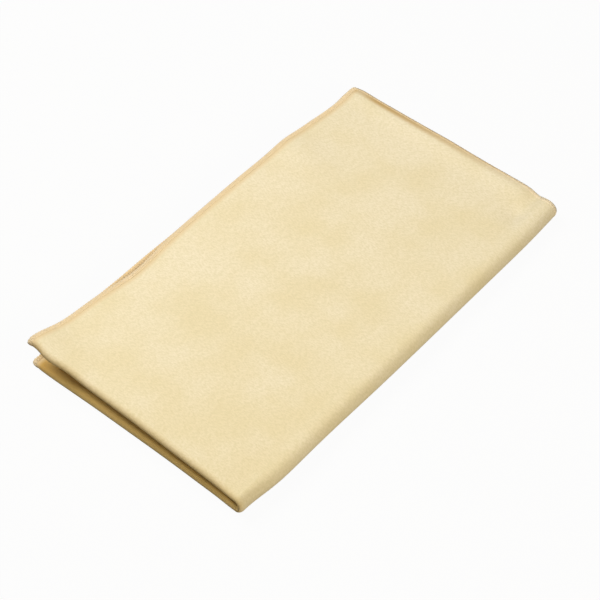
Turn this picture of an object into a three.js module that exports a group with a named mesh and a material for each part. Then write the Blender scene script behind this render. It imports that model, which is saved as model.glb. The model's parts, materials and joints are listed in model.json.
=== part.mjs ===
// A microfibre cloth with overlocked edges, folded in half twice and lying on a table.
// Every piece is modelled flat, as it is cut and sewn, and one function then folds it.
// Millimetres, +Z up. +X runs along the last fold, which lies at -Y. The first fold lies at -X.
import * as THREE from 'three';
import { mergeVertices } from 'three/addons/utils/BufferGeometryUtils.js';

// The cloth as it is cut and sewn
const CLOTH_LENGTH = 700;
const CLOTH_WIDTH = 400;
const CLOTH_THICKNESS = 1.4;

// The overlock stitching that wraps each cut edge
const SERGING_WIDTH = 4.0;
const THREAD_THICKNESS = 0.45;
const PINCHED_THICKNESS = 0.6;
const PINCH_TAPER = 2.0;
const FLOOR_TAPER = 12;

// Clearances between pieces that lie against each other
const CLEARANCE = 0.3;
const LAYER_AIR = 0.5;

// The two folds
const FIRST_FOLD_BULGE = 4.0;
const FIRST_FOLD_REACH = 45;
const INNER_BEND_RADIUS = 2.2;
const INNER_EDGE_LEAD = 2.0;
const CORNER_FLATTENING = 0.48;
const CORNER_REACH = 24;
const FAR_END_THINNING = 2.2;

// How the upper half springs up from the last fold, and how its open edge ripples
const UPPER_LIFT = 4.5;
const SPRING_SHARE = 0.8;
const SPRING_ZONE = 0.55;
const MIDDLE_SAG = 3.0;
const SAG_REACH = 70;
const CORNER_CURL = 5.2;
const CURL_REACH = 20;
const CURL_ZONE = 0.3;
const EDGE_RIPPLE = 3.4;
const RIPPLE_LENGTH = 326;
const EDGE_WAVE = 1.8;
const WAVE_PLACE = 254;
const WAVE_REACH = 22;
const RIPPLE_ZONE = 0.4;

// Faceting
const LENGTH_STEPS = 20;
const WIDTH_STEPS = 12;
const FLAT_LENGTH_STEPS = 12;
const FLAT_WIDTH_STEPS = 6;
const FIRST_BEND_STEPS = 6;
const LAST_BEND_STEPS = 8;

const CLOTH_COLOUR = 0xeedcae;
const THREAD_COLOUR = 0xe6cb9c;
const ROUGHNESS = 0.95;
const RIGHT_ANGLE = 90;

// Sizes that follow from those above
const sergingHalf = PINCHED_THICKNESS / 2 + CLEARANCE + THREAD_THICKNESS;
const layerSpacing = Math.max(2 * sergingHalf, CLOTH_THICKNESS) + LAYER_AIR;
const firstFoldSpacing = layerSpacing + FIRST_FOLD_BULGE;
const firstFoldRadius = firstFoldSpacing / 2;
const lastFoldRadius = firstFoldSpacing + CLOTH_THICKNESS / 2 + INNER_BEND_RADIUS;
const halfLength = CLOTH_LENGTH / 2;
const halfWidth = CLOTH_WIDTH / 2;
const firstBendHalf = (Math.PI / 2) * firstFoldRadius;
const lastBendHalf = (Math.PI / 2) * lastFoldRadius;
const edgeInset = THREAD_THICKNESS + CLEARANCE;
const pinchStart = SERGING_WIDTH + CLEARANCE;
const straightLength = halfLength - firstBendHalf;
const straightWidth = halfWidth - lastBendHalf;
const edgeRise = Math.max(sergingHalf - CLOTH_THICKNESS / 2, 0);
const outerHalf = Math.max(sergingHalf, CLOTH_THICKNESS / 2);

// Where the bends start, so that the origin lies at the middle of the folded cloth's footprint
const firstFoldX = (firstFoldRadius + outerHalf - straightLength) / 2;
const lastFoldY = (lastFoldRadius + outerHalf - straightWidth - INNER_EDGE_LEAD) / 2;

// Layer signs: the outer layer lies outside the last fold, the inner layer inside it
const OUTER = 1;
const INNER = -1;
const LOWER = -1;
const UPPER = 1;

function smooth(t) {
  const c = THREE.MathUtils.clamp(t, 0, 1);
  return c * c * (3 - 2 * c);
}

function bell(distance, reach) {
  return Math.exp(-((distance / reach) ** 2));
}

// The straight run of cloth from the last fold to its finished edge, by layer: 0 is outer, 1 is inner
function runLength(depthShare) {
  return straightWidth + INNER_EDGE_LEAD * depthShare;
}

// How far into the zone beside the open long edge a share of the width lies, from 0 to 1
function edgeZone(share, zone) {
  return smooth((share - 1 + zone) / zone);
}

// Height of the upper half above the flat stack, at a distance along and across from the folds
function upperLift(along, across) {
  const share = across / straightWidth;
  const edge = edgeZone(share, RIPPLE_ZONE);
  const spring = UPPER_LIFT * THREE.MathUtils.lerp(share, smooth(share / SPRING_ZONE), SPRING_SHARE);
  const sag = MIDDLE_SAG * Math.sin(Math.PI * Math.min(share, 1)) * (1 - bell(along, SAG_REACH));
  const curl = CORNER_CURL * edgeZone(share, CURL_ZONE) * bell(along, CURL_REACH);
  const ripple = EDGE_RIPPLE * edge * Math.sin((2 * Math.PI * along) / RIPPLE_LENGTH);
  const wave = EDGE_WAVE * edge * bell(along - WAVE_PLACE, WAVE_REACH);
  return spring - sag + curl - ripple + wave;
}

// Lower edges stand on their stitching, so the cloth rises there by what the stitching adds
function floorRise(toLengthEnd, toWidthEnd) {
  const inside = Math.min(toLengthEnd, toWidthEnd) - SERGING_WIDTH;
  return edgeRise * (1 - smooth(inside / FLOOR_TAPER));
}

// Folds one point of the flat cloth. along is signed: it counts from the first fold's line, to the
// outer layer when positive. angle is the place in the last fold's bend, from -90 to 90 degrees, and
// run is how far past that bend the point lies. height is measured from the cloth's middle, outward.
function foldPoint(along, angle, run, height) {
  const past = Math.abs(along) - firstBendHalf;
  let x;
  let depth;
  let depthShare;
  if (past <= 0) {
    const turn = along / firstFoldRadius;
    x = firstFoldX - (firstFoldRadius + height) * Math.cos(turn);
    depth = firstFoldRadius - (firstFoldRadius + height) * Math.sin(turn);
    depthShare = (1 - Math.sin(turn)) / 2;
  } else {
    const spacing = layerSpacing + FIRST_FOLD_BULGE * bell(past, FIRST_FOLD_REACH);
    x = firstFoldX + past;
    depth = along > 0 ? -height : spacing + height;
    depthShare = along > 0 ? 0 : 1;
  }
  const fromFirstFold = Math.max(past, 0);
  const bend = THREE.MathUtils.degToRad(angle);
  const bendRadius = lastFoldRadius - (FAR_END_THINNING * fromFirstFold) / straightLength;
  const radius = bendRadius - depth;
  const flattening = 1 - CORNER_FLATTENING * bell(fromFirstFold, CORNER_REACH);
  const breadth = (flattening * lastFoldRadius) / bendRadius;
  const lowerShare = (RIGHT_ANGLE - angle) / (2 * RIGHT_ANGLE);
  const toWidthEnd = Math.abs(angle) < RIGHT_ANGLE ? halfWidth : runLength(depthShare) - run;
  const rise = lowerShare * floorRise(halfLength - Math.abs(along), toWidthEnd);
  const lift = angle === RIGHT_ANGLE ? upperLift(fromFirstFold, run) : 0;
  return new THREE.Vector3(
    x,
    lastFoldY + run - breadth * radius * Math.cos(bend),
    CLOTH_THICKNESS / 2 + bendRadius + radius * Math.sin(bend) + rise + lift,
  );
}

// Even stations from one end to the other, with the extra ones that a stitched edge needs
function stations(start, end, steps) {
  return Array.from({ length: steps + 1 }, (_, i) => start + ((end - start) * i) / steps);
}

function stationsToEdge(start, finishedEdge, last, steps) {
  const pinched = finishedEdge - pinchStart;
  return [...stations(start, pinched - PINCH_TAPER, steps), pinched, last];
}

// Thickness of the cloth at its distance from the nearest finished edge
function thicknessAt(toEdge) {
  const share = THREE.MathUtils.clamp((toEdge - pinchStart) / PINCH_TAPER, 0, 1);
  return PINCHED_THICKNESS + (CLOTH_THICKNESS - PINCHED_THICKNESS) * share;
}

function signedVolume(geometry) {
  const p = geometry.attributes.position;
  const corners = [new THREE.Vector3(), new THREE.Vector3(), new THREE.Vector3()];
  let total = 0;
  for (let i = 0; i < geometry.index.count; i += 3) {
    corners.forEach((corner, k) => corner.fromBufferAttribute(p, geometry.index.getX(i + k)));
    total += corners[0].dot(corners[1].cross(corners[2])) / 6;
  }
  return total;
}

// Moves every vertex of a flat solid to its folded place, and keeps its faces pointing out
function folded(flat, placeVertex) {
  flat.deleteAttribute('normal');
  flat.deleteAttribute('uv');
  const geometry = mergeVertices(flat);
  const p = geometry.attributes.position;
  for (let i = 0; i < p.count; i += 1) {
    const q = placeVertex(p.getX(i), p.getY(i), p.getZ(i));
    p.setXYZ(i, q.x, q.y, q.z);
  }
  if (signedVolume(geometry) < 0) {
    const order = geometry.index.array;
    for (let i = 0; i < order.length; i += 3) {
      [order[i], order[i + 1]] = [order[i + 1], order[i]];
    }
  }
  geometry.computeVertexNormals();
  return geometry;
}

// A sheet with a vertex at each pair of stations and a face on each side of its thickness
function sheet(lengthStations, widthStations, placeSheetPoint) {
  const rows = lengthStations.length - 1;
  const columns = widthStations.length - 1;
  const flat = new THREE.BoxGeometry(rows, columns, 1, rows, columns, 1);
  return folded(flat, (x, y, z) => {
    const s = lengthStations[Math.round(x + rows / 2)];
    const v = widthStations[Math.round(y + columns / 2)];
    return placeSheetPoint(s, v, 2 * z);
  });
}

// The stitching's section: across from the finished edge, and up from the cloth's middle
function sergingSection() {
  const slot = PINCHED_THICKNESS / 2 + CLEARANCE;
  const corner = THREAD_THICKNESS;
  const section = new THREE.Shape();
  section.moveTo(0, corner - sergingHalf);
  section.lineTo(corner, -sergingHalf);
  section.lineTo(SERGING_WIDTH, -sergingHalf);
  section.lineTo(SERGING_WIDTH, -slot);
  section.lineTo(THREAD_THICKNESS, -slot);
  section.lineTo(THREAD_THICKNESS, slot);
  section.lineTo(SERGING_WIDTH, slot);
  section.lineTo(SERGING_WIDTH, sergingHalf);
  section.lineTo(corner, sergingHalf);
  section.lineTo(0, sergingHalf - corner);
  return section;
}

function serging(edgeStations, placeSergingPoint) {
  const steps = edgeStations.length - 1;
  const flat = new THREE.ExtrudeGeometry(sergingSection(), { steps, depth: steps, bevelEnabled: false });
  return folded(flat, (inset, height, step) => (
    placeSergingPoint(edgeStations[Math.round(step)], inset, height)
  ));
}

function depthShareOf(layer) {
  return layer === OUTER ? 0 : 1;
}

// The stations of one half, finer in the upper half, which isn't flat
function lengthSteps(half) {
  return half === UPPER ? LENGTH_STEPS : FLAT_LENGTH_STEPS;
}

function widthSteps(half) {
  return half === UPPER ? WIDTH_STEPS : FLAT_WIDTH_STEPS;
}

function lengthStationsOf(half, last) {
  return stationsToEdge(firstBendHalf + CLEARANCE, halfLength, last, lengthSteps(half));
}

function widthStationsOf(half, depthShare, last) {
  return stationsToEdge(CLEARANCE, runLength(depthShare), last, widthSteps(half));
}

const firstBendStations = stations(-firstBendHalf, firstBendHalf, FIRST_BEND_STEPS);
const lastBendStations = stations(-RIGHT_ANGLE, RIGHT_ANGLE, LAST_BEND_STEPS);

// One quarter of the cloth, from both folds to its two stitched edges
function panel(layer, half) {
  const share = depthShareOf(layer);
  const lengths = lengthStationsOf(half, halfLength - edgeInset);
  const widths = widthStationsOf(half, share, runLength(share) - edgeInset);
  return sheet(lengths, widths, (s, v, side) => {
    const toEdge = Math.min(halfLength - s, runLength(share) - v);
    return foldPoint(layer * s, RIGHT_ANGLE * half, v, (side * thicknessAt(toEdge)) / 2);
  });
}

// The roll of the first fold, which joins the two layers of one half
function firstFold(half) {
  const steps = widthSteps(half);
  const widths = stationsToEdge(CLEARANCE, straightWidth, straightWidth - edgeInset, steps);
  const lead = (s) => (INNER_EDGE_LEAD * (1 - Math.sin(s / firstFoldRadius))) / 2;
  return sheet(firstBendStations, widths, (s, v, side) => {
    const run = v * (1 + lead(s) / straightWidth);
    return foldPoint(s, RIGHT_ANGLE * half, run, (side * thicknessAt(straightWidth - v)) / 2);
  });
}

// The roll of the last fold, which joins the lower and upper quarters of one layer
function lastFold(layer) {
  const lengths = lengthStationsOf(LOWER, halfLength - edgeInset);
  return sheet(lengths, lastBendStations, (s, angle, side) => (
    foldPoint(layer * s, angle, 0, (side * thicknessAt(halfLength - s)) / 2)
  ));
}

// The corner at the middle of the cloth, where the last fold bends the roll of the first
function foldCorner() {
  return sheet(firstBendStations, lastBendStations, (s, angle, side) => (
    foldPoint(s, angle, 0, (side * CLOTH_THICKNESS) / 2)
  ));
}

// Stitching along the long edge of a quarter, round the first fold's end, along the short edge of a
// quarter, and round the last fold's end
function longEdgeSerging(layer, half) {
  const share = depthShareOf(layer);
  return serging(lengthStationsOf(half, halfLength), (s, inset, height) => (
    foldPoint(layer * s, RIGHT_ANGLE * half, runLength(share) - inset, height)
  ));
}

function firstFoldSerging(half) {
  return serging(firstBendStations, (s, inset, height) => {
    const share = (1 - Math.sin(s / firstFoldRadius)) / 2;
    return foldPoint(s, RIGHT_ANGLE * half, runLength(share) - inset, height);
  });
}

function shortEdgeSerging(layer, half) {
  const share = depthShareOf(layer);
  const widths = widthStationsOf(half, share, runLength(share) - pinchStart).slice(0, -1);
  return serging(widths, (v, inset, height) => (
    foldPoint(layer * (halfLength - inset), RIGHT_ANGLE * half, v, height)
  ));
}

function lastFoldSerging(layer) {
  return serging(lastBendStations, (angle, inset, height) => (
    foldPoint(layer * (halfLength - inset), angle, 0, height)
  ));
}

function piece(name, geometry, colour) {
  const material = new THREE.MeshStandardMaterial({ color: colour, roughness: ROUGHNESS, metalness: 0 });
  const mesh = new THREE.Mesh(geometry, material);
  mesh.name = name;
  return mesh;
}

function clothPiece(name, geometry) {
  return piece(name, geometry, CLOTH_COLOUR);
}

function threadPiece(name, geometry) {
  return piece(name, geometry, THREAD_COLOUR);
}

// One half of the folded cloth: its two quarters, the first fold between them, and their edges
function halfGroup(half, outerName, innerName, foldName) {
  const group = new THREE.Group();
  group.add(clothPiece(outerName, panel(OUTER, half)));
  group.add(clothPiece(innerName, panel(INNER, half)));
  group.add(clothPiece(foldName, firstFold(half)));
  group.add(threadPiece(`${outerName}_long_serging`, longEdgeSerging(OUTER, half)));
  group.add(threadPiece(`${innerName}_long_serging`, longEdgeSerging(INNER, half)));
  group.add(threadPiece(`${foldName}_serging`, firstFoldSerging(half)));
  group.add(threadPiece(`${outerName}_short_serging`, shortEdgeSerging(OUTER, half)));
  group.add(threadPiece(`${innerName}_short_serging`, shortEdgeSerging(INNER, half)));
  return group;
}

function lastFoldGroup() {
  const group = new THREE.Group();
  group.add(clothPiece('outer_last_fold', lastFold(OUTER)));
  group.add(clothPiece('inner_last_fold', lastFold(INNER)));
  group.add(clothPiece('fold_corner', foldCorner()));
  group.add(threadPiece('outer_last_fold_serging', lastFoldSerging(OUTER)));
  group.add(threadPiece('inner_last_fold_serging', lastFoldSerging(INNER)));
  return group;
}

const cloth = new THREE.Group();
cloth.add(halfGroup(LOWER, 'bottom_panel', 'lower_inner_panel', 'lower_first_fold'));
cloth.add(halfGroup(UPPER, 'top_panel', 'upper_inner_panel', 'upper_first_fold'));
cloth.add(lastFoldGroup());

export default cloth;
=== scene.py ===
# A napped microfibre cloth with overlocked edges, folded in half twice.
# The cloth is cut and sewn flat, and then one function folds it, so that its fabric and its threads follow
# the same folds. Metres, +Z up. +X runs along the last fold, which lies at -Y. The first fold lies at -X.
import json

import bmesh
import bpy
import numpy as np
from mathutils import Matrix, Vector, noise


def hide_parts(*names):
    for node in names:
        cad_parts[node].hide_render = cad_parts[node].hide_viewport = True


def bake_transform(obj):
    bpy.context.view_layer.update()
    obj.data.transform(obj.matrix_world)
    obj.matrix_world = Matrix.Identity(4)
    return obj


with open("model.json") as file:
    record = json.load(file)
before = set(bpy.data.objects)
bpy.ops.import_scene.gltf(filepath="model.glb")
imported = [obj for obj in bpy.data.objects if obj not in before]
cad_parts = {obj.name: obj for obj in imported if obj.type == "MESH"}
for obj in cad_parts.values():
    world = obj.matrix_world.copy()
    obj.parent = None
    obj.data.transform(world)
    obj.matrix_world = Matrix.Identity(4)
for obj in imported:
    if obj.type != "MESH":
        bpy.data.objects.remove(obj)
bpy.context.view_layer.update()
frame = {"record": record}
MM = 0.001

# The cloth as it is cut and sewn
CLOTH_LENGTH = 700 * MM
CLOTH_WIDTH = 400 * MM
CLOTH_THICKNESS = 1.4 * MM
CORNER_ROUNDING = 3 * MM

# The overlock stitching round its edges
STITCH_LENGTH = 2.27 * MM
SERGING_WIDTH = 4.0 * MM
PINCHED_THICKNESS = 1.0 * MM
PINCH_TAPER = 4.0 * MM
LOOPER_RADIUS = 0.60 * MM
LOOPER_HEIGHT = 0.50 * MM
LOOPER_LOCK_INSET = 0.50 * MM
LOOPER_TURN_INSET = 0.65 * MM
LOOPER_MIDDLE_INSET = 2.00 * MM
LOOPER_FAR_INSET = 3.40 * MM
NEEDLE_RADIUS = 0.45 * MM
NEEDLE_DIP = 0.8
THREAD_FLATTENING = 0.5
# Taper and reach of the light and shade painted on the thread
THREAD_MARK_TAPER = 14 * MM
PAINTED_LIGHT_REACH = 80 * MM
CUT_EDGE_INSET = 0.75 * MM
SERGING_HALF = 1.05 * MM

# The two folds
LAYER_SPACING = 2.6 * MM
FIRST_FOLD_BULGE = 4.0 * MM
FIRST_FOLD_REACH = 45 * MM
FIRST_FOLD_OFFSET = -2.2 * MM
EDGE_FLATTENING = 0.7
EDGE_FLAT_ZONE = 0.35
INNER_BEND_RADIUS = 2.2 * MM
INNER_EDGE_LEAD = 2.0 * MM
CORNER_FLATTENING = 0.42
CORNER_REACH = 22 * MM
FAR_END_THINNING = 2.2 * MM
FLOOR_TAPER = 12 * MM

# How the upper half springs up from the last fold, and how its open edge ripples
UPPER_LIFT = 4.5 * MM
SPRING_SHARE = 0.8
SPRING_ZONE = 0.55
MIDDLE_SAG = 3.0 * MM
SAG_REACH = 70 * MM
CORNER_CURL = 7.3 * MM
CURL_REACH = 17.5 * MM
CURL_ZONE = 0.3
EDGE_RIPPLE = 3.0 * MM
RIPPLE_LENGTH = 326 * MM
EDGE_WAVE = 1.9 * MM
WAVE_PLACE = 257 * MM
WAVE_REACH = 15 * MM
RIPPLE_ZONE = 0.4

# The upper half's open long edge: where it draws in or pulls out, and where the inner layer peeks out
EDGE_DIP = 3.8 * MM
EDGE_DIP_PLACE = 91 * MM
EDGE_DIP_REACH = 29 * MM
END_DIP = 1.1 * MM
END_DIP_PLACE = 310 * MM
END_DIP_REACH = 20 * MM
INNER_TUCK = 0.6 * MM
PEEK = 4.0 * MM
PEEK_PLACE = 94 * MM
PEEK_REACH = 28 * MM
CORNER_PULL = 1.2 * MM
CORNER_PULL_REACH = 14 * MM

# The short edges: their curl, a hump behind it, where they draw in, and dents by the last fold
SHORT_CURL = 0.65
SHORT_CURL_LENGTH = 5.0 * MM
INNER_CURL_SHARE = 0.15
LEAST_CURL_SHARE = 0.5
CURL_FADE = 0.25
SHORT_HUMP = 1.5 * MM
SHORT_HUMP_PLACE = 9 * MM
SHORT_HUMP_REACH = 9 * MM
CORNER_CALM = 0.3
CORNER_CALM_REACH = 10 * MM
SHORT_BULGE = -0.5 * MM
SHORT_BULGE_PLACE = 132 * MM
SHORT_BULGE_REACH = 32 * MM
SHORT_BULGE_DEPTH = 60 * MM
SHORT_DIP = 2.8 * MM
SHORT_DIP_PLACE = 9 * MM
SHORT_DIP_REACH = 8 * MM
SHORT_DIP_FROM_EDGE = 7 * MM
SHORT_DIP_DEPTH = 9 * MM
CORNER_DRAW = 1.7 * MM
CORNER_DRAW_REACH = 6 * MM
DIMPLE_DEPTH = 2.6 * MM
DIMPLE_FROM_EDGE = 26 * MM
DIMPLE_FROM_FOLD = 9 * MM
DIMPLE_REACH = 12 * MM

# The rolls of both folds: where they sink, narrow, wander or stand out
ROLL_END_TUCK = 0.3 * MM
ROLL_END_NARROWING = 0.1
ROLL_END_DRAW = 2.1 * MM
ROLL_END_REACH = 30 * MM
SHOULDER_DROP = 2.4 * MM
SHOULDER_REACH = 115 * MM
SHOULDER_WIDTH = 14 * MM
FOLD_DIP = 1.1 * MM
FOLD_DIP_PLACE = 72 * MM
FOLD_DIP_REACH = 50 * MM
FOLD_DIP_WIDTH = 60 * MM
FIRST_FOLD_WAVE = 0.6 * MM
FIRST_FOLD_WAVE_PLACE = 0.55
FIRST_FOLD_WAVE_LENGTH = 1.2
FIRST_FOLD_WAVE_START = 0.1
FIRST_FOLD_WAVE_REACH = 40 * MM
END_ROLL_OUT = 3.2 * MM
END_ROLL_PLACE = 0.9
END_ROLL_WIDTH = 0.07
NUB_OUT = 2.2 * MM
NUB_REACH = 6 * MM

# Small random unevenness
UNDULATION = 0.5 * MM
UNDULATION_LENGTH = 55 * MM
UNDULATION_SEED = 1.7
FLUTTER = 0.7 * MM
FLUTTER_LENGTH = 38 * MM
FLUTTER_ZONE = 0.12
FLUTTER_SEED = 4.3

# Mesh steps: fine where the cloth shows or bends, coarse in the hidden layers
SHOWN_STEP = 2.4 * MM
HIDDEN_STEP = 5.5 * MM
FIRST_BEND_STEPS = 16
LAST_BEND_STEPS = 64
PINCH_STEPS = (0.0, 0.3, 0.6, 0.85, 1.0)

# Sizes that follow from those above
HALF_LENGTH = CLOTH_LENGTH / 2
HALF_WIDTH = CLOTH_WIDTH / 2
FIRST_FOLD_SPACING = LAYER_SPACING + FIRST_FOLD_BULGE
FIRST_FOLD_RADIUS = FIRST_FOLD_SPACING / 2
LAST_FOLD_RADIUS = FIRST_FOLD_SPACING + CLOTH_THICKNESS / 2 + INNER_BEND_RADIUS
FIRST_BEND_HALF = np.pi / 2 * FIRST_FOLD_RADIUS
LAST_BEND_HALF = np.pi / 2 * LAST_FOLD_RADIUS
STRAIGHT_LENGTH = HALF_LENGTH - FIRST_BEND_HALF
STRAIGHT_WIDTH = HALF_WIDTH - LAST_BEND_HALF
EDGE_RISE = SERGING_HALF - CLOTH_THICKNESS / 2
FIRST_FOLD_X = (FIRST_FOLD_RADIUS + SERGING_HALF - STRAIGHT_LENGTH) / 2
LAST_FOLD_Y = (LAST_FOLD_RADIUS + SERGING_HALF - STRAIGHT_WIDTH - INNER_EDGE_LEAD) / 2
CORNER_CENTRE = np.array([HALF_LENGTH, HALF_WIDTH]) - CORNER_ROUNDING
EDGE_LENGTH = 2 * (CLOTH_LENGTH + CLOTH_WIDTH) - (8 - 2 * np.pi) * CORNER_ROUNDING

# The nap of the fabric: scale, detail and roughness of each noise, from coarse to fine
NAP_PATCHES = (26.0, 2.0, 0.5)
NAP_TUFTS = (300.0, 2.0, 0.55)
NAP_GRAIN = (900.0, 3.0, 0.65)
NAP_FIBRES = (3400.0, 2.0, 0.6)
BRUSHED_TURN = (0, 0, 0.6)
BRUSHED_STRETCH = (1.0, 0.5, 1.0)
TUFT_RELIEF = 0.4
GRAIN_RELIEF = 0.6
FIBRE_RELIEF = 0.35
NAP_STRENGTH = 0.5
NAP_HEIGHT = 0.6 * MM
FABRIC_ROUGHNESS = (0.86, 1.0)

# The fabric's colours in sRGB, painted shade among them, and where and how much each shows
FABRIC_DEEP = (243, 227, 187)
FABRIC_LIGHT = (251, 238, 209)
LEAN_RANGE = (0.37, 0.87)
LEAN_ALONG = 0.36
LEAN_ACROSS = 0.2
FLECK_COLOUR = (220, 206, 157)
FLECK_FROM_GRAIN = 1.5
FLECK_FROM_TUFTS = 0.5
FLECK_RANGE = (0.7, 1.3)
FLECK_SHARE = 0.55
FIBRE_COLOUR = (226, 207, 160)
FIBRE_RANGE = (0.35, 0.65)
FIBRE_SHARE = 0.3
# Painted shade: a deeper gold in the first fold's crease, for the shaded gap between the two halves
PAINTED_CREASE_COLOUR = (230, 186, 84)
PAINTED_CREASE_FRONT = (-3 * MM, 6 * MM)
PAINTED_CREASE_BACK = (-18 * MM, -4 * MM)
PAINTED_CREASE_SHARE = 0.76
# Painted shadow: darker still in the crease near the open long edges, in the pocket between the halves
POCKET_SHADOW_COLOUR = (180, 135, 60)
POCKET_SHADOW_RANGE = (4 * MM, 32 * MM)
POCKET_SHADOW_SHARE = 0.8
# Painted shade along the long edges: a tan band inside the stitching, for the shaded groove by the needle's
# line
LONG_EDGE_SHADE_COLOUR = (231, 205, 157)
LONG_EDGE_RANGE = (4 * MM, 8.5 * MM)
LONG_EDGE_SHARE = 0.8
# Painted shade along the short edges: a deeper tan line inside the stitching, strongest away from the last
# fold and weaker at the corners
SHORT_EDGE_SHADE_COLOUR = (190, 146, 66)
SHORT_EDGE_RANGE = (5.5 * MM, 10.5 * MM)
SHORT_EDGE_SHARE = 0.82
SHORT_EDGE_CORNER = 30 * MM
SHORT_EDGE_CORNER_SHARE = 0.4
SHEEN_COLOUR = (255, 240, 210)

# The thread's fibres and colours, and the light and shade painted on it by where it is sewn: mark, share and
# colour
THREAD_FIBRES = (2600.0, 2.0, 0.6)
THREAD_CHANGES = (160.0, 2.0, 0.5)
THREAD_DEEP = (238, 215, 173)
THREAD_LIGHT = (241, 219, 179)
THREAD_FIBRE_COLOUR = (226, 196, 148)
THREAD_STRENGTH = 0.4
THREAD_FIBRE_HEIGHT = 0.2 * MM
THREAD_ROUGHNESS = (0.75, 0.95)
THREAD_PAINTED_LIGHT_AND_SHADE = (
    ("painted_short_edge_shade", 0.2, (208, 172, 112)),
    ("painted_short_edge_light", 0.6, (248, 236, 208)),
    ("painted_warm_light", 0.45, (252, 212, 144)),
    ("painted_crease_shade", 0.8, (198, 160, 98)),
)
NOISE_MIDDLE = (0.3, 0.7)

# The studio: floor, lights and camera
FLOOR_HALF = 6.0
FLOOR_PATCHES = 6.0
FLOOR_DEEP = (0.24, 0.23, 0.21, 1)
FLOOR_LIGHT = (0.26, 0.25, 0.23, 1)
FLOOR_GLOW = 1.06
FLOOR_GLOW_SHARE = 0.9
WORLD_SHOWN = 1.0
WORLD_FILL = 0.06
KEY_PLACE = (-0.18, 1.0, 1.35)
KEY_SIZE = (1.0, 0.9)
KEY_POWER = 26.8
KEY_COLOUR = (0.985, 0.99, 1.0)
FILL_PLACE = (-0.2, -1.45, 0.9)
FILL_SIZE = (1.0, 0.7)
FILL_POWER = 18.0
FILL_COLOUR = (1.0, 0.93, 0.79)
CAMERA_AZIMUTH = -49.52
CAMERA_ELEVATION = 49.49
CAMERA_TARGET = (-10.01 * MM, -2.9 * MM, 0)
CAMERA_DISTANCE = 1141.28 * MM
CAMERA_CLIP = (0.01, 100.0)
FOCAL_PIXELS = 1596.62
PICTURE_PIXELS = 600
SENSOR_WIDTH = 36.0


def smooth(t):
    """A soft step from 0 to 1, while t goes from 0 to 1."""
    t = np.clip(t, 0, 1)
    return t * t * (3 - 2 * t)


def bell(distance, reach):
    """1 at no distance, and next to nothing two reaches away."""
    return np.exp(-((distance / reach) ** 2))


def edge_zone(share, zone):
    """Rises from 0 to 1 over the last part, zone, of a share."""
    return smooth((share - 1 + zone) / zone)


def uneven(x, y, length, seed):
    """Smooth random values from -1 to 1, with humps about as long as length."""
    places = np.stack([x / length, y / length, np.full_like(x, seed)], axis=-1)
    return np.array([noise.noise(Vector(p)) for p in places])


def upper_lift(along, across):
    """Height of the upper half above the flat stack, at a distance along and across from the folds."""
    share = across / STRAIGHT_WIDTH
    edge = edge_zone(share, RIPPLE_ZONE)
    spring = UPPER_LIFT * (share + (smooth(share / SPRING_ZONE) - share) * SPRING_SHARE)
    sag = MIDDLE_SAG * np.sin(np.pi * np.minimum(share, 1)) * (1 - bell(along, SAG_REACH))
    curl = CORNER_CURL * edge_zone(share, CURL_ZONE) * bell(along, CURL_REACH)
    ripple = EDGE_RIPPLE * edge * np.sin(2 * np.pi * along / RIPPLE_LENGTH)
    wave = EDGE_WAVE * edge * bell(along - WAVE_PLACE, WAVE_REACH)
    dimple = DIMPLE_DEPTH * bell(STRAIGHT_LENGTH - DIMPLE_FROM_EDGE - along, DIMPLE_REACH)
    dimple = dimple * bell(across - DIMPLE_FROM_FOLD, DIMPLE_REACH) * smooth(across / DIMPLE_FROM_FOLD)
    return spring - sag + curl - ripple + wave - dimple


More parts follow.
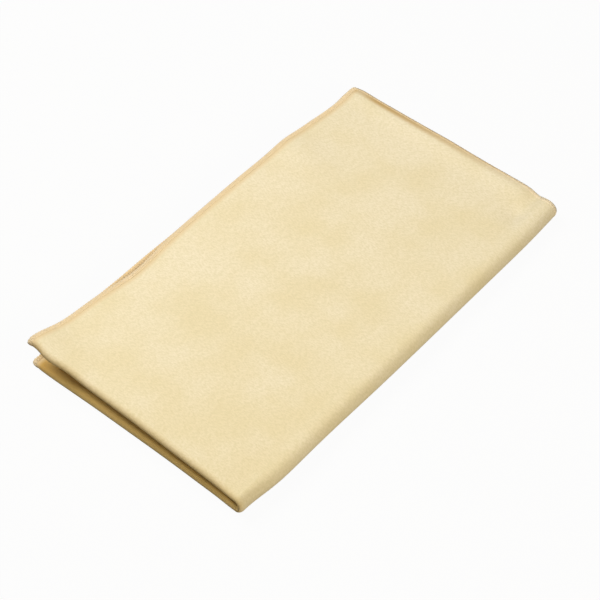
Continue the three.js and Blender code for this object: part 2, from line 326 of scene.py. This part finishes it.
def fold(flat):
    """Folds points of the flat cloth. Each is along (from the first fold's line, plus to the outer layer),
    across (from the last fold's line, plus to the upper half) and height (from mid-cloth, outward)."""
    along, across, height = np.asarray(flat, float).T
    to_short = HALF_LENGTH - np.abs(along)
    to_long = HALF_WIDTH - np.abs(across)
    to_edge = np.minimum(to_short, to_long)
    along = along - FIRST_FOLD_OFFSET
    width_share = np.maximum(np.abs(across) - LAST_BEND_HALF, 0) / STRAIGHT_WIDTH
    outer = along > 0
    upper = across > LAST_BEND_HALF
    lower = across < -LAST_BEND_HALF

    # The first fold: a roll between the outer and the inner layer, which flattens at the lower half's edge
    flattened = EDGE_FLATTENING * edge_zone(width_share, EDGE_FLAT_ZONE) * lower
    bulge = FIRST_FOLD_BULGE * (1 - flattened)
    roll_radius = (LAYER_SPACING + bulge) / 2
    bend_half = np.pi / 2 * roll_radius
    past = np.abs(along) - bend_half
    from_fold = np.maximum(past, 0)
    turn = np.clip(along / roll_radius, -np.pi / 2, np.pi / 2)
    rolled = past <= 0
    spacing = LAYER_SPACING + bulge * bell(from_fold, FIRST_FOLD_REACH)
    roll = roll_radius + height
    bend_x = FIRST_FOLD_X - FIRST_BEND_HALF + bend_half
    x = bend_x + np.where(rolled, -roll * np.cos(turn), past)
    flat_depth = np.where(outer, -height, spacing + height)
    depth = np.where(rolled, roll_radius - roll * np.sin(turn), flat_depth)
    depth_share = np.where(rolled, (1 - np.sin(turn)) / 2, np.where(outer, 0.0, 1.0))

    # The curl of the short edges
    corner_calm = 1 - CORNER_CALM * bell(to_long, CORNER_CALM_REACH)
    curled = np.maximum(SHORT_CURL_LENGTH - to_short, 0)
    fade = LEAST_CURL_SHARE + (1 - LEAST_CURL_SHARE) * smooth(width_share / CURL_FADE)
    tilt = SHORT_CURL * fade * corner_calm * curled / SHORT_CURL_LENGTH
    tilt = tilt * np.where(outer, 1.0, INNER_CURL_SHARE)
    above = np.where(outer, height, -height)
    x = x + curled * (np.sinc(tilt / np.pi) - 1) + above * np.sin(tilt)
    depth = depth + curled * np.sinc(tilt / (2 * np.pi)) * np.sin(tilt / 2) + above * (1 - np.cos(tilt))

    # The last fold, and how far each half runs from it
    bend = np.clip(across / LAST_BEND_HALF, -1, 1) * np.pi / 2
    peek = PEEK * bell(from_fold - PEEK_PLACE, PEEK_REACH) - INNER_TUCK
    lead = INNER_EDGE_LEAD + np.where(upper, peek, 0)
    dip = EDGE_DIP * bell(from_fold - EDGE_DIP_PLACE, EDGE_DIP_REACH)
    dip = dip + END_DIP * bell(from_fold - END_DIP_PLACE, END_DIP_REACH)
    pull = CORNER_PULL * bell(to_short, CORNER_PULL_REACH)
    run_length = STRAIGHT_WIDTH + lead * depth_share + np.where(upper, pull - dip, 0)
    run = width_share * run_length
    bend_radius = LAST_FOLD_RADIUS - FAR_END_THINNING * from_fold / STRAIGHT_LENGTH
    radius = bend_radius - depth
    roll_end = bell(to_short, ROLL_END_REACH)
    breadth = 1 - CORNER_FLATTENING * bell(from_fold, CORNER_REACH)
    breadth = breadth * LAST_FOLD_RADIUS / bend_radius * (1 - ROLL_END_NARROWING * roll_end)
    y = LAST_FOLD_Y + run - breadth * radius * np.cos(bend)
    z = CLOTH_THICKNESS / 2 + bend_radius + radius * np.sin(bend)
    shoulder = SHOULDER_DROP * np.maximum(np.sin(bend), 0) * (1 - depth_share / 2)
    z = z - shoulder * bell(from_fold, SHOULDER_REACH) * bell(run, SHOULDER_WIDTH)

    # The stitching holds the lower half's edges off the floor, and the upper half springs up
    lower_share = (1 - bend / (np.pi / 2)) / 2
    z = z + lower_share * EDGE_RISE * (1 - smooth((to_edge - SERGING_WIDTH) / FLOOR_TAPER))
    z = z + np.where(upper, upper_lift(from_fold, run), 0)

    # Unevenness in height
    away = smooth(run / (2 * LAST_FOLD_RADIUS))
    humps = UNDULATION * away * uneven(x, y, UNDULATION_LENGTH, UNDULATION_SEED)
    long_zone = edge_zone(run / run_length, FLUTTER_ZONE)
    short_zone = edge_zone(from_fold / STRAIGHT_LENGTH, FLUTTER_ZONE)
    open_edge = np.maximum(long_zone, short_zone)
    flutter = FLUTTER * away * open_edge * uneven(x, y, FLUTTER_LENGTH, FLUTTER_SEED)
    hump = SHORT_HUMP * away * corner_calm * bell(to_short - SHORT_HUMP_PLACE, SHORT_HUMP_REACH)
    dent = SHORT_DIP * bell(run - SHORT_DIP_PLACE, SHORT_DIP_REACH) * smooth(run / SHORT_DIP_PLACE)
    dent = dent * bell(to_short - SHORT_DIP_FROM_EDGE, SHORT_DIP_DEPTH)
    z = z + np.where(upper, humps + flutter + hump - dent, np.abs(humps) * (1 - open_edge))

    # Unevenness in plan: the ends of the last fold's roll, the short edges, and the first fold's rolls
    x = x - ROLL_END_DRAW * roll_end * (1 - away)
    y = y + ROLL_END_TUCK * roll_end * (1 - away)
    out = SHORT_BULGE * bell(run - SHORT_BULGE_PLACE, SHORT_BULGE_REACH) * bell(to_short, SHORT_BULGE_DEPTH)
    out = out - CORNER_DRAW * bell(to_long, CORNER_DRAW_REACH) * roll_end
    out = out - NUB_OUT * bell(to_long, NUB_REACH) * bell(from_fold, CURL_REACH)
    end_roll = bell(width_share - END_ROLL_PLACE, END_ROLL_WIDTH) * bell(from_fold, CORNER_REACH)
    out = out - END_ROLL_OUT * end_roll
    swing = np.sin(2 * np.pi * (width_share - FIRST_FOLD_WAVE_PLACE) / FIRST_FOLD_WAVE_LENGTH)
    wave = FIRST_FOLD_WAVE * swing * bell(from_fold, FIRST_FOLD_WAVE_REACH)
    wave = wave * smooth(width_share / FIRST_FOLD_WAVE_START)
    x = x + np.where(upper, out, 0) - np.where(lower, wave, 0)
    near_fold = 1 - smooth(run / FOLD_DIP_WIDTH)
    y = y + FOLD_DIP * near_fold * bell(from_fold - FOLD_DIP_PLACE, FOLD_DIP_REACH)
    return np.stack([x, y, z], axis=-1)


def steps_between(start, end, step):
    return np.linspace(start, end, max(2, round((end - start) / step) + 1))


def stations(bend_half, bend_steps, last):
    """Places of the mesh lines across a fold: coarse before it, close together in it, fine after it."""
    pinched = last - SERGING_WIDTH - PINCH_TAPER
    edge = np.array(PINCH_STEPS) * (last - pinched) + pinched
    before = -np.concatenate([edge[::-1], steps_between(bend_half, pinched, HIDDEN_STEP)[::-1][1:]])
    bend = np.linspace(-bend_half, bend_half, bend_steps + 1)
    after = np.concatenate([steps_between(bend_half, pinched, SHOWN_STEP), edge[1:]])
    return np.concatenate([before, bend[1:-1], after])


def round_corners(place):
    """Draws the square corners of the flat cloth in to an arc."""
    out = np.abs(place) - CORNER_CENTRE
    corner = (out > 0).all(axis=1)
    reach = np.hypot(out[:, 0], out[:, 1])
    share = np.where(corner, out.max(axis=1) / np.maximum(reach, 1e-9), 1.0)
    drawn = np.sign(place) * (CORNER_CENTRE + out * share[:, None])
    return np.where(corner[:, None], drawn, place)


def new_piece(name, mesh, material):
    mesh.materials.clear()
    mesh.materials.append(material)
    for polygon in mesh.polygons:
        polygon.use_smooth = True
    piece = bpy.data.objects.new(name, mesh)
    bpy.context.scene.collection.objects.link(piece)
    return piece


def cut_and_fold_cloth(name, material):
    """One sheet of fabric: a flat grid, given its thickness, thinned at the stitched edges, and folded."""
    lengths = stations(FIRST_BEND_HALF, FIRST_BEND_STEPS, HALF_LENGTH - CUT_EDGE_INSET)
    widths = stations(LAST_BEND_HALF, LAST_BEND_STEPS, HALF_WIDTH - CUT_EDGE_INSET)
    bm = bmesh.new()
    columns, rows = len(lengths) - 1, len(widths) - 1
    bmesh.ops.create_grid(bm, x_segments=columns, y_segments=rows, size=1.0)
    for v in bm.verts:
        v.co.x = lengths[round((v.co.x + 1) / 2 * columns)]
        v.co.y = widths[round((v.co.y + 1) / 2 * rows)]
    bmesh.ops.solidify(bm, geom=list(bm.faces), thickness=CLOTH_THICKNESS)
    flat = np.array([v.co for v in bm.verts])
    flat[:, :2] = round_corners(flat[:, :2])
    side = np.sign(flat[:, 2] - (flat[:, 2].min() + flat[:, 2].max()) / 2)
    to_edge = np.minimum(HALF_LENGTH - np.abs(flat[:, 0]), HALF_WIDTH - np.abs(flat[:, 1]))
    full = smooth((to_edge - SERGING_WIDTH) / PINCH_TAPER)
    flat[:, 2] = side * (PINCHED_THICKNESS + (CLOTH_THICKNESS - PINCHED_THICKNESS) * full) / 2
    weave = bm.loops.layers.uv.new("weave")
    bm.verts.index_update()
    for face in bm.faces:
        for loop in face.loops:
            loop[weave].uv = flat[loop.vert.index, :2]
    for v, place in zip(bm.verts, fold(flat)):
        v.co = place
    bmesh.ops.recalc_face_normals(bm, faces=list(bm.faces))
    mesh = bpy.data.meshes.new(name)
    bm.to_mesh(mesh)
    bm.free()
    return new_piece(name, mesh, material)


def edge_line(distance):
    """Place and inward direction on the finished edge, at a distance round it from the +X, +Y corner."""
    long_run = CLOTH_LENGTH - 2 * CORNER_ROUNDING
    short_run = CLOTH_WIDTH - 2 * CORNER_ROUNDING
    arc = np.pi / 2 * CORNER_ROUNDING
    runs = [short_run, arc, long_run, arc] * 2
    ends = np.cumsum([0.0] + runs)
    sides = np.clip(np.searchsorted(ends, distance, side="right") - 1, 0, len(runs) - 1)
    offset = distance - ends[sides]
    corners = np.array([[1, 1], [1, -1], [-1, -1], [-1, 1]]) * CORNER_CENTRE
    headings = np.array([[0, -1], [-1, 0], [0, 1], [1, 0]])
    outward = np.array([[1, 0], [0, -1], [-1, 0], [0, 1]])
    k = sides // 2
    straight = sides % 2 == 0
    swing = np.where(straight, 0, offset / CORNER_ROUNDING)[:, None]
    out = outward[k] * np.cos(swing) + headings[k] * np.sin(swing)
    on_side = corners[k] + headings[k] * offset[:, None]
    centre = np.where(straight[:, None], on_side, corners[(k + 1) % len(corners)])
    return centre + out * CORNER_ROUNDING, -out


def sew_thread(name, radius, stitch, material):
    """A thread sewn right round the cloth. stitch holds one stitch's points: share of the stitch's length,
    distance in from the finished edge, and height above mid-cloth. Marks on the thread say where light and
    shade are painted on it: painted shade on the short edges and in the first fold's crease, painted light on
    the short edges by the last fold, and painted warm light on the inner layers."""
    count = round(EDGE_LENGTH / STITCH_LENGTH)
    share, inset, height = np.array(stitch).T
    distance = ((np.arange(count)[:, None] + share[None]) / count * EDGE_LENGTH).ravel() % EDGE_LENGTH
    place, inward = edge_line(distance)
    place = place + inward * np.tile(inset, count)[:, None]
    ones = np.ones(len(place))
    points = np.column_stack([place, np.tile(height, count) / THREAD_FLATTENING, ones])
    curve = bpy.data.curves.new(name, "CURVE")
    curve.dimensions = "3D"
    curve.bevel_depth = radius
    curve.bevel_resolution = 1
    spline = curve.splines.new("POLY")
    spline.points.add(len(points) - 1)
    spline.points.foreach_set("co", points.ravel())
    spline.use_cyclic_u = True
    guide = bpy.data.objects.new(name + "_line", curve)
    bpy.context.scene.collection.objects.link(guide)
    mesh = bpy.data.meshes.new_from_object(guide.evaluated_get(bpy.context.evaluated_depsgraph_get()))
    bpy.data.objects.remove(guide)
    mesh.name = name
    sewn = np.array([v.co for v in mesh.vertices]) * (1, 1, THREAD_FLATTENING)
    mesh.vertices.foreach_set("co", fold(sewn).ravel())

    along, across = sewn[:, 0], sewn[:, 1]
    to_short = HALF_LENGTH - np.abs(along)
    to_long = HALF_WIDTH - np.abs(across)
    # Painted shade on the short edges away from the last fold, painted light on them near it, painted warm
    # light on the inner layers, and painted shade in the first fold's crease
    short = smooth((to_long - to_short) / THREAD_MARK_TAPER)
    from_last_fold = smooth(np.abs(across) / PAINTED_LIGHT_REACH)
    inner = smooth((FIRST_FOLD_OFFSET - along) / THREAD_MARK_TAPER)
    marks = {
        "painted_short_edge_shade": short * from_last_fold,
        "painted_short_edge_light": short * (1 - from_last_fold),
        "painted_warm_light": inner,
        "painted_crease_shade": inner * bell(along - FIRST_FOLD_OFFSET, FIRST_FOLD_REACH),
    }
    for mark, values in marks.items():
        mesh.attributes.new(mark, "FLOAT", "POINT").data.foreach_set("value", values)
    return new_piece(name, mesh, material)


def looper_stitch(side):
    """A looper thread goes in from the edge to the needle's line on one side of the cloth, and back."""
    over = LOOPER_HEIGHT * side
    way_in = [
        (0.20, LOOPER_TURN_INSET, 0.8 * over),
        (0.25, LOOPER_MIDDLE_INSET, over),
        (0.30, LOOPER_FAR_INSET, 0.95 * over),
    ]
    way_back = [(1 - share, inset, height) for share, inset, height in reversed(way_in)]
    return [(0.0, LOOPER_LOCK_INSET, 0.1 * over)] + way_in + way_back


def needle_stitch():
    """The needle thread runs along the inner side of the stitching and dips into the cloth at each stitch."""
    inset = SERGING_WIDTH - NEEDLE_RADIUS
    dip = (0.0, inset, NEEDLE_DIP * LOOPER_HEIGHT)
    return [dip, (0.3, inset, LOOPER_HEIGHT), (0.7, inset, LOOPER_HEIGHT)]


class Nodes:
    """Adds and links the nodes of one material, or of the world."""

    def __init__(self, owner):
        owner.use_nodes = True
        self.tree = owner.node_tree
        self.tree.nodes.clear()

    def add(self, kind, inputs=None, **settings):
        node = self.tree.nodes.new(kind)
        for key, value in settings.items():
            setattr(node, key, value)
        for key, value in (inputs or {}).items():
            socket = node.inputs[key]
            if isinstance(value, bpy.types.NodeSocket):
                self.tree.links.new(value, socket)
            else:
                socket.default_value = value
        return node

    def blotches(self, place, scale, detail=2.0, rough=0.5):
        wanted = {"Vector": place, "Scale": scale, "Detail": detail, "Roughness": rough}
        return self.add("ShaderNodeTexNoise", wanted).outputs["Fac"]

    def between(self, value, low, high, to_low, to_high):
        wanted = {"Value": value, "From Min": low, "From Max": high, "To Min": to_low, "To Max": to_high}
        return self.add("ShaderNodeMapRange", wanted, interpolation_type="SMOOTHSTEP").outputs["Result"]

    def math(self, operation, *values):
        return self.add("ShaderNodeMath", dict(enumerate(values)), operation=operation).outputs[0]

    def times(self, a, b):
        return self.math("MULTIPLY", a, b)

    def plus(self, a, b):
        return self.math("ADD", a, b)

    def minus(self, a, b):
        return self.math("SUBTRACT", a, b)

    def size(self, a):
        return self.math("ABSOLUTE", a)

    def mix(self, share, a, b):
        return self.add("ShaderNodeMix", {0: share, 6: a, 7: b}, data_type="RGBA").outputs[2]

    def seen(self):
        """1 where the camera looks at a surface itself, or sees it in gloss or through glass."""
        path = self.add("ShaderNodeLightPath").outputs
        seen = path["Is Camera Ray"]
        for kind in ("Is Glossy Ray", "Is Transmission Ray"):
            seen = self.math("MAXIMUM", seen, path[kind])
        return seen


def linear(colour):
    """An sRGB colour, 0 to 255, as the linear colour that shaders take."""
    shares = np.array(colour) / 255
    curved = ((shares + 0.055) / 1.055) ** 2.4
    return (*np.where(shares <= 0.04045, shares / 12.92, curved).tolist(), 1.0)


def suede_microfibre():
    """Pale yellow fabric with a short brushed nap: grains of pile, and patches where the nap leans. Shade is
    painted into its colour: a deeper gold in the first fold's crease, darker still near the open long edges,
    and tan bands inside the stitching along its edges."""
    material = bpy.data.materials.new("suede_microfibre")
    n = Nodes(material)
    weave = n.add("ShaderNodeUVMap", uv_map="weave").outputs["UV"]
    brushing = {"Vector": weave, "Rotation": BRUSHED_TURN, "Scale": BRUSHED_STRETCH}
    brushed = n.add("ShaderNodeMapping", brushing).outputs["Vector"]
    grain = n.blotches(brushed, *NAP_GRAIN)
    fibres = n.blotches(brushed, *NAP_FIBRES)
    tufts = n.blotches(weave, *NAP_TUFTS)
    patches = n.blotches(weave, *NAP_PATCHES)
    place = n.add("ShaderNodeSeparateXYZ", {"Vector": weave}).outputs
    along, across = place["X"], place["Y"]
    to_short = n.minus(HALF_LENGTH, n.size(along))
    to_long = n.minus(HALF_WIDTH, n.size(across))

    # The patches grow paler towards the +X, +Y corner of the flat cloth
    to_corner = n.plus(n.times(along, LEAN_ALONG / CLOTH_LENGTH), n.times(across, LEAN_ACROSS / CLOTH_WIDTH))
    lean = n.between(n.plus(patches, to_corner), *LEAN_RANGE, 0.0, 1.0)
    colour = n.mix(lean, linear(FABRIC_DEEP), linear(FABRIC_LIGHT))
    flecks = n.plus(n.times(grain, FLECK_FROM_GRAIN), n.times(tufts, FLECK_FROM_TUFTS))
    colour = n.mix(n.between(flecks, *FLECK_RANGE, FLECK_SHARE, 0.0), colour, linear(FLECK_COLOUR))
    colour = n.mix(n.between(fibres, *FIBRE_RANGE, FIBRE_SHARE, 0.0), colour, linear(FIBRE_COLOUR))

    # Painted shade: a deeper gold in the first fold's crease, where the gap between the halves lies in shade
    from_fold = n.minus(along, FIRST_FOLD_OFFSET)
    painted_crease_shade = n.between(from_fold, *PAINTED_CREASE_FRONT, PAINTED_CREASE_SHARE, 0.0)
    painted_crease_shade = n.times(painted_crease_shade, n.between(from_fold, *PAINTED_CREASE_BACK, 0.0, 1.0))
    colour = n.mix(painted_crease_shade, colour, linear(PAINTED_CREASE_COLOUR))
    # Painted shadow: darker in the crease's pocket near the open long edges
    pocket_shadow = n.times(painted_crease_shade, n.between(to_long, *POCKET_SHADOW_RANGE, POCKET_SHADOW_SHARE, 0.0))
    colour = n.mix(pocket_shadow, colour, linear(POCKET_SHADOW_COLOUR))

    # Painted shade of the groove inside the stitching along the long edges
    long_edge_shade = n.between(to_long, *LONG_EDGE_RANGE, LONG_EDGE_SHARE, 0.0)
    colour = n.mix(long_edge_shade, colour, linear(LONG_EDGE_SHADE_COLOUR))
    # Painted shade of the curled short edges, strongest away from the last fold
    short_edge_shade = n.between(n.size(across), 0.0, HALF_WIDTH, 0.0, SHORT_EDGE_SHARE)
    corner = n.between(to_long, 0.0, SHORT_EDGE_CORNER, SHORT_EDGE_CORNER_SHARE, 1.0)
    short_edge_shade = n.times(n.times(short_edge_shade, corner), n.between(to_short, *SHORT_EDGE_RANGE, 1.0, 0.0))
    colour = n.mix(short_edge_shade, colour, linear(SHORT_EDGE_SHADE_COLOUR))

    height = n.plus(n.times(tufts, TUFT_RELIEF), n.times(grain, GRAIN_RELIEF))
    height = n.plus(height, n.times(fibres, FIBRE_RELIEF))
    bump = n.add("ShaderNodeBump", {"Height": height, "Strength": NAP_STRENGTH, "Distance": NAP_HEIGHT})
    shader = n.add("ShaderNodeBsdfPrincipled", {
        "Base Color": colour,
        "Roughness": n.between(grain, *NOISE_MIDDLE, *FABRIC_ROUGHNESS),
        "Normal": bump.outputs["Normal"],
        "Specular IOR Level": 0.2,
        "Sheen Weight": 0.08,
        "Sheen Roughness": 0.55,
        "Sheen Tint": linear(SHEEN_COLOUR),
    })
    n.add("ShaderNodeOutputMaterial", {"Surface": shader.outputs["BSDF"]})
    return material


def overlock_thread():
    """Tan textured thread with fine fibres. Its colour changes a little along it at random. Light and shade
    are also painted into it by where it is sewn: painted shade on the short edges and in the first fold's
    crease, painted light on the short edges by the last fold, and painted warm light on the inner layers."""
    material = bpy.data.materials.new("overlock_thread")
    n = Nodes(material)
    place = n.add("ShaderNodeTexCoord").outputs["Object"]
    fibres = n.blotches(place, *THREAD_FIBRES)
    change = n.between(n.blotches(place, *THREAD_CHANGES), *NOISE_MIDDLE, 0.0, 1.0)
    colour = n.mix(change, linear(THREAD_DEEP), linear(THREAD_LIGHT))
    colour = n.mix(n.between(fibres, *FIBRE_RANGE, FIBRE_SHARE, 0.0), colour, linear(THREAD_FIBRE_COLOUR))
    # Each mark mixes painted light or painted shade into the thread's colour
    for mark, share, shade in THREAD_PAINTED_LIGHT_AND_SHADE:
        marked = n.add("ShaderNodeAttribute", attribute_name=mark).outputs["Fac"]
        colour = n.mix(n.times(marked, share), colour, linear(shade))
    twist = {"Height": fibres, "Strength": THREAD_STRENGTH, "Distance": THREAD_FIBRE_HEIGHT}
    shader = n.add("ShaderNodeBsdfPrincipled", {
        "Base Color": colour,
        "Roughness": n.between(fibres, *NOISE_MIDDLE, *THREAD_ROUGHNESS),
        "Normal": n.add("ShaderNodeBump", twist).outputs["Normal"],
        "Specular IOR Level": 0.25,
        "Sheen Weight": 0.15,
        "Sheen Roughness": 0.5,
    })
    n.add("ShaderNodeOutputMaterial", {"Surface": shader.outputs["BSDF"]})
    return material


def white_floor():
    """A pale floor that the camera sees as white and that keeps a soft shadow."""
    material = bpy.data.materials.new("white_floor")
    n = Nodes(material)
    place = n.add("ShaderNodeTexCoord").outputs["Object"]
    paper = n.mix(n.blotches(place, FLOOR_PATCHES), FLOOR_DEEP, FLOOR_LIGHT)
    lit = n.add("ShaderNodeBsdfDiffuse", {"Color": paper}).outputs["BSDF"]
    glow = n.add("ShaderNodeEmission", {"Color": (1, 1, 1, 1), "Strength": FLOOR_GLOW}).outputs["Emission"]
    both = n.add("ShaderNodeMixShader", {0: n.times(n.seen(), FLOOR_GLOW_SHARE), 1: lit, 2: glow})
    n.add("ShaderNodeOutputMaterial", {"Surface": both.outputs["Shader"]})
    return material


def lay_floor():
    bm = bmesh.new()
    bmesh.ops.create_grid(bm, x_segments=1, y_segments=1, size=FLOOR_HALF)
    mesh = bpy.data.meshes.new("floor")
    bm.to_mesh(mesh)
    bm.free()
    floor = new_piece("floor", mesh, white_floor())
    return floor


def aim(thing, place, target):
    thing.location = place
    thing.rotation_mode = "QUATERNION"
    thing.rotation_quaternion = (Vector(target) - Vector(place)).to_track_quat("-Z", "Y")


def soft_box(name, place, size, power, colour):
    light = bpy.data.lights.new(name, "AREA")
    light.shape = "RECTANGLE"
    light.size, light.size_y = size
    light.energy = power
    light.color = colour
    lamp = bpy.data.objects.new(name, light)
    bpy.context.scene.collection.objects.link(lamp)
    aim(lamp, place, (0, 0, 0))


def light_studio():
    """Two soft boxes, and a world that is bright to look at but throws little light."""
    world = bpy.data.worlds.new("studio")
    bpy.context.scene.world = world
    n = Nodes(world)
    shown = n.add("ShaderNodeBackground", {"Strength": WORLD_SHOWN}).outputs["Background"]
    fill = n.add("ShaderNodeBackground", {"Strength": WORLD_FILL}).outputs["Background"]
    both = n.add("ShaderNodeMixShader", {0: n.seen(), 1: fill, 2: shown}).outputs["Shader"]
    n.add("ShaderNodeOutputWorld", {"Surface": both})
    soft_box("key_box", KEY_PLACE, KEY_SIZE, KEY_POWER, KEY_COLOUR)
    soft_box("fill_box", FILL_PLACE, FILL_SIZE, FILL_POWER, FILL_COLOUR)


def set_camera():
    """The photograph's view, from a fit of the folded cloth's outline."""
    azimuth, elevation = np.radians([CAMERA_AZIMUTH, CAMERA_ELEVATION])
    level = np.cos(elevation)
    back = Vector((np.sin(azimuth) * level, -np.cos(azimuth) * level, np.sin(elevation)))
    target = Vector(CAMERA_TARGET)
    camera = bpy.data.cameras.new("camera")
    camera.sensor_width = SENSOR_WIDTH
    camera.lens = FOCAL_PIXELS / PICTURE_PIXELS * SENSOR_WIDTH
    camera.clip_start, camera.clip_end = CAMERA_CLIP
    holder = bpy.data.objects.new("camera", camera)
    bpy.context.scene.collection.objects.link(holder)
    aim(holder, target + back * CAMERA_DISTANCE, target)
    bpy.context.scene.camera = holder


set_camera()
fabric = suede_microfibre()
thread = overlock_thread()
cloth = cut_and_fold_cloth("cloth_sheet", fabric)
upper_looper = sew_thread("upper_looper_thread", LOOPER_RADIUS, looper_stitch(1), thread)
lower_looper = sew_thread("lower_looper_thread", LOOPER_RADIUS, looper_stitch(-1), thread)
needle = sew_thread("needle_thread", NEEDLE_RADIUS, needle_stitch(), thread)

clothing = [s["node"] for s in frame["record"]["subparts"] if s["material_slot"] == "cloth"]
stitching = [s["node"] for s in frame["record"]["subparts"] if s["material_slot"] == "overlock_thread"]
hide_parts(*clothing)
for piece in (upper_looper, lower_looper, needle):
    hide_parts(*stitching)
for piece in (cloth, upper_looper, lower_looper, needle):
    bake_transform(piece)
floor = lay_floor()
light_studio()
bpy.context.scene.view_settings.view_transform = "Standard"
